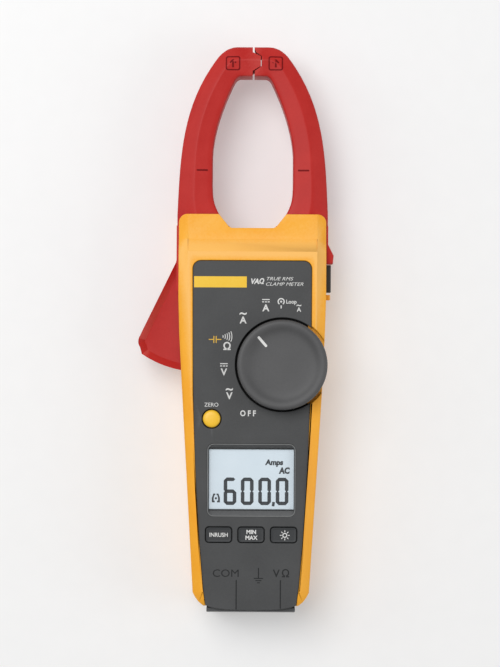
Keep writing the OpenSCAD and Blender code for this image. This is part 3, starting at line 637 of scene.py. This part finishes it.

# %% [markdown]
# ## The display
#
# Round the display a thin glossy lip is painted paler, as a painted highlight, and inside it the
# panel slopes down to the window. Each is a closed band of four rings of corners. The rings are
# joined one to the next by hand, because bridging two rings that lie in one plane also fills the
# opening. A thin black gasket, painted black as the shadow of its gap, shows above and below the
# lit sheet. The window is a shallow plate over it, and the segments are a flat print on the sheet.

# %% Lip, bezel, gasket and window


def frame_ring(bm, rings):
    """Joins rings of (points, height), in order and back to the first, into a closed band."""
    drawn = [[bm.verts.new((x, y, z)) for x, y in points] for points, z in rings]
    for here, after in zip(drawn, drawn[1:] + drawn[:1]):
        for i, corner in enumerate(here):
            bm.faces.new((here[i - 1], corner, after[i], after[i - 1]))


LIP_OUT = (0, -65.2, 38.2, 31.4, 2.8)
LIP_IN = (0, -65.2, 37.6, 30.8, 2.5)
# Painted highlight: the lip's paler plastic stands for the light caught round the display.
lip_mesh = bmesh.new()
frame_ring(lip_mesh, [(rounded(*LIP_OUT), 33.92), (rounded(*LIP_IN), 33.92), (rounded(*LIP_IN), 33.3),
                      (rounded(*LIP_OUT), 33.3)])
finished(lip_mesh, "display_lip", "case", glossy_highlight_abs)

bezel_mesh = bmesh.new()
frame_ring(bezel_mesh, [(rounded(*LIP_IN), 33.75), (rounded(0, -64.85, 37.0, 27.2, 0.8), 33.0),
                        (rounded(0, -64.85, 37.0, 27.2, 0.8), 32.97), (rounded(*LIP_IN), 32.97)])
finished(bezel_mesh, "display_bezel", "case", charcoal_abs)

# Painted shadow: black strips above and below the display, for the shadow of the gap at the window's edge.
gasket_shadow_mesh = bmesh.new()
slab(gasket_shadow_mesh, [rounded(0, -65.0, 37.6, 28.6, 0.6), rounded(0, -64.85, 36.7, 25.9, 0.2)], 32.32, 32.42)
finished(gasket_shadow_mesh, "display_gasket_shadow", "case", shade_pad)

window_mesh = bmesh.new()
slab(window_mesh, [rounded(0, -65.0, 37.0, 28.0, 0.55)], 32.44, 32.95)
finished(window_mesh, "display_window", "case", window_acrylic, ("lens_window",), 0.08, 2)

# %% [markdown]
# A seven-segment figure has three bars across and four upright, with mitred ends so that they
# nearly touch. Each segment is a six-point ring, and a figure is a list of the ones that are lit.
# The small sign at the left is a pair of jaws round a dot.

# %% Segments on the display


def segment(bm, x, y, long, wide, upright, z):
    """One bar of a figure with pointed ends."""
    h, w = long / 2, wide / 2
    points = [(-h, 0), (-h + w, -w), (h - w, -w), (h, 0), (h - w, w), (-h + w, w)]
    if upright:
        points = [(-b, a) for a, b in points]
    slab(bm, [[(x + a, y + b) for a, b in points]], z - FILM, z + FILM)


def figure(bm, lit, x, y, wide, high, stroke, z):
    """One figure; lit names its bars a to g, clockwise from the top."""
    dx, dy = (wide - stroke) / 2, (high - stroke) / 2
    bars = {"a": (0, dy, 0), "d": (0, -dy, 0), "g": (0, 0, 0), "b": (dx, dy / 2, 1), "c": (dx, -dy / 2, 1),
            "e": (-dx, -dy / 2, 1), "f": (-dx, dy / 2, 1)}
    for name in lit:
        sx, sy, upright = bars[name]
        long = (dy if upright else 2 * dx) + 0.34 * stroke
        segment(bm, x + sx, y + sy, long, stroke, upright, z)


LIT_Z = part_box("lcd_glass")[1].z / MM + FILM
reading = bmesh.new()
for figure_x, lit in ((-9.2, "acdefg"), (-1.75, "abcdef"), (5.8, "abcdef"), (13.35, "abcdef")):
    figure(reading, lit, figure_x, -70.1, 5.5, 11.9, 1.55, LIT_Z)
bar(reading, 9.6, -75.6, 1.15, 1.9, LIT_Z, -8)
letters(reading, "Amps", 2.35, 9.9, -57.6, LIT_Z, 0.07, 0.1)
letters(reading, "AC", 2.6, 14.3, -61.2, LIT_Z, 0.08, 0.08, wide=0.88)
jaw_sign = [(1.75, -1.95), (1.75, 0), (1.1, 1.85), (0.25, 1.85), (0.25, 1.15), (0.65, 1.15), (0.95, 0),
            (0.95, -1.2), (0.5, -1.2), (0.5, -1.95)]
for side in (-1, 1):
    slab(reading, [[(-15.3 + side * a, -73.0 + b) for a, b in jaw_sign]], LIT_Z - FILM, LIT_Z + FILM)
slab(reading, [ring(-15.3, -73.2, 0.5, 12)], LIT_Z - FILM, LIT_Z + FILM)
finished(reading, "display_segments", "case", segment_ink)

# %% [markdown]
# ## Keys
#
# Each front key is a small rounded block with a flange under the panel that stops it falling
# out, and a soft radius on top from the mould. The round zero key is turned, with a slight
# crown, and a black ring in its hole is painted shade, the shadow of the gap round it. What a
# key does is printed on it: plain words for two, and a sun for the backlight.

# %% Front keys
key_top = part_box("minmax_button")[1].z / MM
KEY_BODY = {"inrush_button": "inrush_key", "minmax_button": "minmax_key", "backlight_button": "backlight_key"}
for key_node, key_x in KEYS.items():
    key_mesh = bmesh.new()
    crown = slab(key_mesh, [rounded(key_x, KEY_Y, 10.9, 6.3, 1.2)], 31.6, key_top - 0.12)
    bmesh.ops.inset_region(key_mesh, faces=crown, thickness=0.9, depth=0.12, use_even_offset=True)
    slab(key_mesh, [rounded(key_x, KEY_Y, 12.1, 7.5, 1.6)], 31.5, 31.8)
    finished(key_mesh, key_node + "_cap", KEY_BODY[key_node], silicone_key, (key_node,), 0.25)

zero_mesh = bmesh.new()
zero_profile = [(0, 34.68), (1.6, 34.66), (2.7, 34.55), (3.3, 34.34), (3.65, 34.0), (3.8, 33.5), (3.8, 31.8),
                (4.7, 31.8), (4.7, 31.5), (0, 31.5)]
turned(zero_mesh, zero_profile, *ZERO, 64)
# Painted shade: a nearly black ring in the zero key's hole, for the shadow of the gap.
seal_shade_mesh = bmesh.new()
turned(seal_shade_mesh, [(3.86, 32.4), (4.28, 32.4), (4.28, 33.3), (3.86, 33.3)], *ZERO, 64)
finished(seal_shade_mesh, "zero_button_seal_shade", "case", shade_pad)
finished(zero_mesh, "zero_button_cap", "zero_key", zero_yellow, ("zero_button",))

# %% Printing on the keys
print_z = key_top
inrush_mesh = bmesh.new()
letters(inrush_mesh, "INRUSH", 1.8, -14.0, KEY_Y - 0.1, print_z, 0.025, wide=0.94)
finished(inrush_mesh, "inrush_lettering", "inrush_key", white_ink)

minmax_mesh = bmesh.new()
letters(minmax_mesh, "MIN", 1.75, 0.1, -87.6, print_z, 0.05)
letters(minmax_mesh, "MAX", 1.75, 0.1, -90.1, print_z, 0.05)
finished(minmax_mesh, "minmax_lettering", "minmax_key", white_ink)

sun_mesh = bmesh.new()
SUN = (14.6, KEY_Y - 0.1)
hoop(sun_mesh, *SUN, 0.85, 0.42, print_z)
for turn in range(0, 360, 45):
    ray = math.radians(turn)
    bar(sun_mesh, SUN[0] + 1.75 * math.cos(ray), SUN[1] + 1.75 * math.sin(ray), 0.8, 0.34, print_z, turn)
finished(sun_mesh, "backlight_sign", "backlight_key", white_ink)

# %% [markdown]
# ## The rotary knob
#
# The knob is one turned piece: a rounded rim with a shallow dish inside it where a thumb
# presses, and a thin skirt that goes down into the well. The white pointer is a second shot of
# plastic in the rim, so it is a short bar whose top follows the dish.

# %% Knob and pointer
KNOB_TOP = [(0, 41.15), (7, 41.15), (11, 41.2), (13, 41.34), (14.2, 41.6), (15, 41.95), (15.7, 42.35),
            (16.3, 42.67), (17, 42.88), (17.7, 43.0), (18.3, 42.95), (18.8, 42.74), (19.15, 42.38),
            (19.35, 41.8), (19.43, 41.1), (19.45, 40.2)]
knob_mesh = bmesh.new()
KNOB_UNDER = [(19.45, 31.9), (17.85, 31.9), (17.85, 38.6), (3.9, 38.6), (3.9, 29.4), (0, 29.4)]
turned(knob_mesh, KNOB_TOP + KNOB_UNDER, *KNOB, 120)
finished(knob_mesh, "rotary_knob_turned", "knob", soft_grey, ("rotary_knob",), 0, 0, 40)

pointer_mesh = bmesh.new()
stadium = [(16.1 - 0.55 + x, y) for x, y in ring(0, 0, 0.55, 9, -90, 180)]
stadium += [(x, 0.55) for x in (14.9, 14.1, 13.3, 12.5, 11.7)]
stadium += [(10.3 + 0.55 + x, y) for x, y in ring(0, 0, 0.55, 9, 90, 180)]
stadium += [(x, -0.55) for x in (11.7, 12.5, 13.3, 14.1, 14.9)]
slab(pointer_mesh, [stadium], 40.6, 43)
for point in pointer_mesh.verts:
    if point.co.z > 42:
        point.co.z = between(KNOB_TOP, math.hypot(point.co.x, point.co.y)) + 0.05
bmesh.ops.transform(pointer_mesh, verts=pointer_mesh.verts,
                    matrix=Matrix.Translation((*KNOB, 0)) @ Matrix.Rotation(math.radians(131), 4, "Z"))
finished(pointer_mesh, "knob_pointer_bar", "knob", white_inlay, ("knob_pointer",))

# %% [markdown]
# ## The jaws
#
# Each jaw is an arm with a roofed face: one facet falls to the outer edge, one to the inner
# edge, and they meet in a soft ridge. Such a shape is hard to get with bevels, because the ridge
# runs along two curves at once. So the section is drawn once as a ring of points, and it is
# extruded from station to station along the arm, with each new ring moved to its own width.
# The two tips interlock: one has a tongue and the other a recess, which is only the X of the
# last ring as it goes across the face. Front and rear halves meet at the seam, with a small
# groove between them, and the rear one is the front one turned over.

# %% Jaw section and stations
CROWN = [(0, 24.0), (0.012, 24.5), (0.045, 24.95), (0.43, 27.5), (0.46, 27.6), (0.49, 27.54), (0.95, 26.8),
         (0.983, 26.55), (1, 26.05)]
ACROSS = [0, 0.012, 0.045, 0.18, 0.32, 0.43, 0.46, 0.49, 0.656, 0.82, 0.95, 0.983, 1]
OUTER_TO_INNER = [(36, 38), (44, 44.2), (50, 50.6), (58, 58.5), (66, 66), (74, 73), (82, 79.6), (90, 86),
                  (98, 92.8), (106, 99.2), (114, 105)]
ARCH = [((4.6, 123), (4.6, 110.2)), ((7, 123), (5.6, 110.2)), ((8.6, 122.85), (6.1, 110.05)),
        ((10, 122.4), (6.6, 109.8)), ((11.3, 121.9), (7.0, 109.5)), ((12.4, 121.2), (7.4, 109.1)),
        ((13.7, 120.2), (7.9, 108.4)), ((15, 118.9), (8.4, 107.4)), ((16.8, 116.5), (8.95, 106.3))]
for outer_y in (114, 110, 106, 102, 98, 94, 90, 86, 82, 78, 74, 70, 66, 62, 58, 56, 54, 52, 50, 47, 44, 36):
    inner_y = between(OUTER_TO_INNER, outer_y)
    ARCH.append(((outer_x(outer_y), outer_y), (inner_x(inner_y), inner_y)))
print("stations along an arm:", len(ARCH) + 1)

# %% Loft an arm


def arm(bm, side, tip):
    """Lofts the front half of an arm; tip is a table of (y, x) across its end."""
    section = [(f, between(CROWN, f)) for f in ACROSS] + [(f, SEAM_Z) for f in reversed(ACROSS)]
    ends = [((between(tip, 123), 123), (between(tip, 110.2), 110.2))]
    stations = ends + [((side * a[0], a[1]), (side * b[0], b[1])) for a, b in ARCH]
    loop = bmesh.ops.create_circle(bm, segments=len(section), radius=1)["verts"]
    first = None
    for number, (outer, inner) in enumerate(stations):
        if number:
            edges = [bm.edges.get((a, b)) for a, b in zip(loop, loop[1:] + loop[:1])]
            grown = bmesh.ops.extrude_edge_only(bm, edges=edges)["geom"]
            fresh = {part for part in grown if isinstance(part, bmesh.types.BMVert)}
            loop = [next(e.other_vert(v) for e in v.link_edges if e.other_vert(v) in fresh) for v in loop]
        for corner, (f, z) in zip(loop, section):
            x = outer[0] + (inner[0] - outer[0]) * f
            y = outer[1] + (inner[1] - outer[1]) * f
            corner.co = (between(tip, y) if number == 0 else x, y, z)
        first = first or list(loop)
    for end in (first, loop):
        half = len(ACROSS)
        for i in range(half - 1):
            bm.faces.new((end[i], end[i + 1], end[-2 - i], end[-1 - i]))


TONGUE = [(110.2, -0.3), (112.5, -0.3), (114.6, 3.2), (118.9, 3.2), (120.7, -0.3), (123, -0.3)]
RECESS = [(110.2, 0.5), (112.4, 0.5), (114.3, 3.6), (119.3, 3.6), (121.1, 0.5), (123, 0.5)]
print("a section has", 2 * len(ACROSS), "points")

# %% [markdown]
# The roots of the jaws are plain blocks inside the casing. The moving one turns round the pivot
# and ends in the trigger, a thick plate with a raised face and a wide slope round it for the
# thumb. The fixed one has the finger barrier, a small ramp that stands out at the right.

# %% Root blocks and trigger
SEAT_X = PIVOT[0] + 18.5
moving_root = [(SEAT_X, 43.6), (SEAT_X, 26.4)] + ring(*PIVOT, 18.5, 4, -6, -24)
moving_root += ring(*PIVOT, 13.8, 9, 262, -39) + [(-33, 36), (-33, 45), (-10.2, 45), (-9.6, 43.6)]
fixed_root = [(9.6, 43.6), (10.2, 45), (32.9, 45), (32.9, 37), (35.3, 32.3), (35, 28.7), (20, 28.7), (20, 20)]
fixed_root += ring(*PIVOT, 19, 4, -20, 14) + [(SEAT_X + 0.5, 26.4), (SEAT_X + 0.5, 43.6)]
trigger = [(-26, 32), (-33, 30.6), (-33.4, 29), (-48.6, -2.2)] + ring(-45.25, -5.4, 4.4, 9, 143, 72)
trigger += ring(*PIVOT, 45, 12, 236, 27) + [(-28, 10), (-22, 20)]


def block(bm, points, low, high, slope=0.0, drop=0.0, edge=0.7):
    """A block with bevelled upper edges, or with a wide slope round a raised face."""
    part = bmesh.new()
    upper = slab(part, [points], low, high - drop)
    if slope:
        bmesh.ops.inset_region(part, faces=upper, thickness=slope, depth=drop, use_even_offset=True)
    rim = [e for e in part.edges if min(v.co.z for v in e.verts) > low + 0.1 and e.calc_face_angle(0) > 0.35]
    bmesh.ops.bevel(part, geom=rim, offset=edge, segments=4, profile=0.5, affect="EDGES", material=-1,
                    clamp_overlap=True)
    made = bpy.data.meshes.new("block")
    part.to_mesh(made)
    bm.from_mesh(made)
    part.free()
    bpy.data.meshes.remove(made)


print("trigger outline points:", len(trigger))

# %% Front and rear halves


def jaw_half(name, node, body, side, tip, root, with_trigger, rear):
    """One moulded half of a jaw."""
    bm = bmesh.new()
    arm(bm, side, tip)
    block(bm, root, SEAM_Z, JAW_Z, edge=0.8)
    if with_trigger:
        block(bm, trigger, SEAM_Z, 24.8, 2.9, 1.9, 0.8)
    if rear:
        bmesh.ops.translate(bm, vec=(0, 0, -SEAM_Z), verts=bm.verts)
        bmesh.ops.scale(bm, vec=(1, 1, -0.94), verts=bm.verts)
        bmesh.ops.translate(bm, vec=(0, 0, SEAM_Z - 0.1), verts=bm.verts)
    surface = BVHTree.FromBMesh(bm)
    finished(bm, name, body, red_pc, (node,), 0, 0, 38)
    return surface


moving_face = jaw_half("moving_jaw_front_moulding", "moving_jaw_front", "moving_jaw", -1, TONGUE, moving_root,
                       True, False)
jaw_half("moving_jaw_rear_moulding", "moving_jaw_rear", "moving_jaw", -1, TONGUE, moving_root, True, True)
fixed_face = jaw_half("fixed_jaw_front_moulding", "fixed_jaw_front", "case", 1, RECESS, fixed_root,
                      False, False)
jaw_half("fixed_jaw_rear_moulding", "fixed_jaw_rear", "case", 1, RECESS, fixed_root, False, True)

# %% [markdown]
# ## Marks cut into the jaws
#
# A short line on each arm shows where the centre of the cable should be, and a small framed sign
# marks each tip. The sign here is a plain arrow. The marks are flat strips draped on the facets.

# %% Jaw marks


def jaw_marks(name, body, side, surface, sign_x):
    """The centre line and the framed arrow of one jaw."""
    bm = bmesh.new()
    slab(bm, [rounded(side * 22.0, 69.2, 4.9, 0.7, 0.3, 3, 4)], -0.03, 0.03)
    outer = rounded(sign_x, 115.75, 6.3, 6.2, 0.9, 4, 10)
    inner = rounded(sign_x, 115.75, 5.3, 5.2, 0.6, 4, 10)
    slab(bm, [outer, inner], -0.03, 0.03)
    bar(bm, sign_x - 0.62, 116.6, 1.9, 0.7, 0, 45, 0.06)
    bar(bm, sign_x + 0.62, 116.6, 1.9, 0.7, 0, -45, 0.06)
    bar(bm, sign_x, 115.9, 0.7, 1.3, 0, 0, 0.06)
    bar(bm, sign_x, 114.6, 0.7, 1.3, 0, 0, 0.06)
    draped(bm, surface, 0.09)
    finished(bm, name, body, cut_red)


jaw_marks("moving_jaw_marks", "moving_jaw", -1, moving_face, -8.9)
jaw_marks("fixed_jaw_marks", "case", 1, fixed_face, 9.7)

# %% [markdown]
# ## Printing on the panel
#
# Each switch position has a letter for its quantity and a sign for alternating or direct
# current over it. They sit on a circle round the knob, 25 degrees apart. The lettering is only
# plain words and the common symbols of electrical units. The capacitor sign is yellow, because
# it is a second function. The marks at the input end are cut into the panel.

# %% White and yellow legends
ink = bmesh.new()
INK_Z = PANEL_Z + 0.01
for letter, sign, x, y in (("A", "~", -3.9, 3.9), ("A", "=", 5.9, 9.2), ("V", "=", -12.1, -18.6),
                           ("V", "~", -9.7, -28.9)):
    letters(ink, letter, 3.0, x, y, INK_Z, 0.035)
    if sign == "~":
        letters(ink, "~", 3.9, x, y + 3.1, INK_Z, 0.03)
    else:
        bar(ink, x, y + 3.75, 3.3, 0.42, INK_Z)
        for dash in (-1.2, 0, 1.2):
            bar(ink, x + dash, y + 2.75, 0.85, 0.42, INK_Z)
letters(ink, "Ω", 3.3, -10.8, -7.5, INK_Z, 0.035)
for wave in range(5):
    hoop(ink, -13.7, -3.1, 1.2 + 0.95 * wave, 0.36, INK_Z, -26, 52, 9)
letters(ink, "O F F", 2.5, -1.6, -36.4, INK_Z, 0.04, wide=0.86)
letters(ink, "A", 1.9, 20.2, 8.6, INK_Z, 0.035)
letters(ink, "~", 2.6, 20.2, 10.6, INK_Z, 0.03)
hoop(ink, 12.5, 12.1, 1.3, 0.5, INK_Z, -55, 290, 24)
slab(ink, [ring(12.5, 12.1, 0.45, 14)], INK_Z - FILM, INK_Z + FILM)
bar(ink, 12.5, 9.8, 0.5, 1.3, INK_Z)
letters(ink, "Loop", 1.7, 16.9, 12.0, INK_Z, 0.03, wide=0.95)
letters(ink, "VAΩ", 2.3, 2.0, 20.7, INK_Z, 0.05, 0.25, wide=0.9)
letters(ink, "TRUE RMS", 1.5, 11.6, 21.9, INK_Z, 0.0, 0.3, wide=1.25)
letters(ink, "CLAMP METER", 1.5, 13.8, 19.6, INK_Z, 0.0, 0.3, wide=1.25)
letters(ink, "ZERO", 1.75, -17.4, -32.7, INK_Z, 0.0)
finished(ink, "white_legends", "case", white_ink)

gold = bmesh.new()
for side in (-1, 1):
    bar(gold, -16.0 + side * 0.5, -4.4, 0.4, 3.0, INK_Z)
    bar(gold, -16.0 + side * 1.7, -4.4, 2.0, 0.4, INK_Z)
finished(gold, "yellow_legends", "case", yellow_ink)

# %% Marks at the input end
cuts = bmesh.new()
letters(cuts, "COM", 3.4, -10.8, -105.6, INK_Z, 0.0, wide=1.1)
letters(cuts, "V", 3.4, 11.0, -105.6, INK_Z, 0.02)
letters(cuts, "Ω", 3.4, 15.0, -105.6, INK_Z, 0.02)
bar(cuts, 3.3, -105.3, 0.45, 4.4, INK_Z)
for drop, wide in ((0, 4.0), (0.95, 2.6), (1.9, 1.2)):
    bar(cuts, 3.3, -107.6 - drop, wide, 0.42, INK_Z)
for jack_x, low in ((-6.3, -121.1), (12.8, -120.6)):
    bar(cuts, jack_x, (low - 108.3) / 2, 0.5, -108.3 - low, INK_Z)
finished(cuts, "input_marks", "case", cut_dark)

# %% [markdown]
# ## The table top
#
# The table is a sheet of opal acrylic, lit faintly from below as a light table for products is.
# That keeps the shadow soft and clean. It is one plain face.

# %% Floor
opal = display_sheet("lit_opal_acrylic", "#CACACA", "#CCCCCC", 0.48)
floor_mesh = bmesh.new()
bmesh.ops.create_grid(floor_mesh, x_segments=1, y_segments=1, size=4)
floor_data = bpy.data.meshes.new("table_top")
floor_mesh.to_mesh(floor_data)
floor_mesh.free()
floor_data.materials.append(opal)
table_top = bpy.data.objects.new("table_top", floor_data)
table_top.location.z = -0.02 * MM
scene.collection.objects.link(table_top)
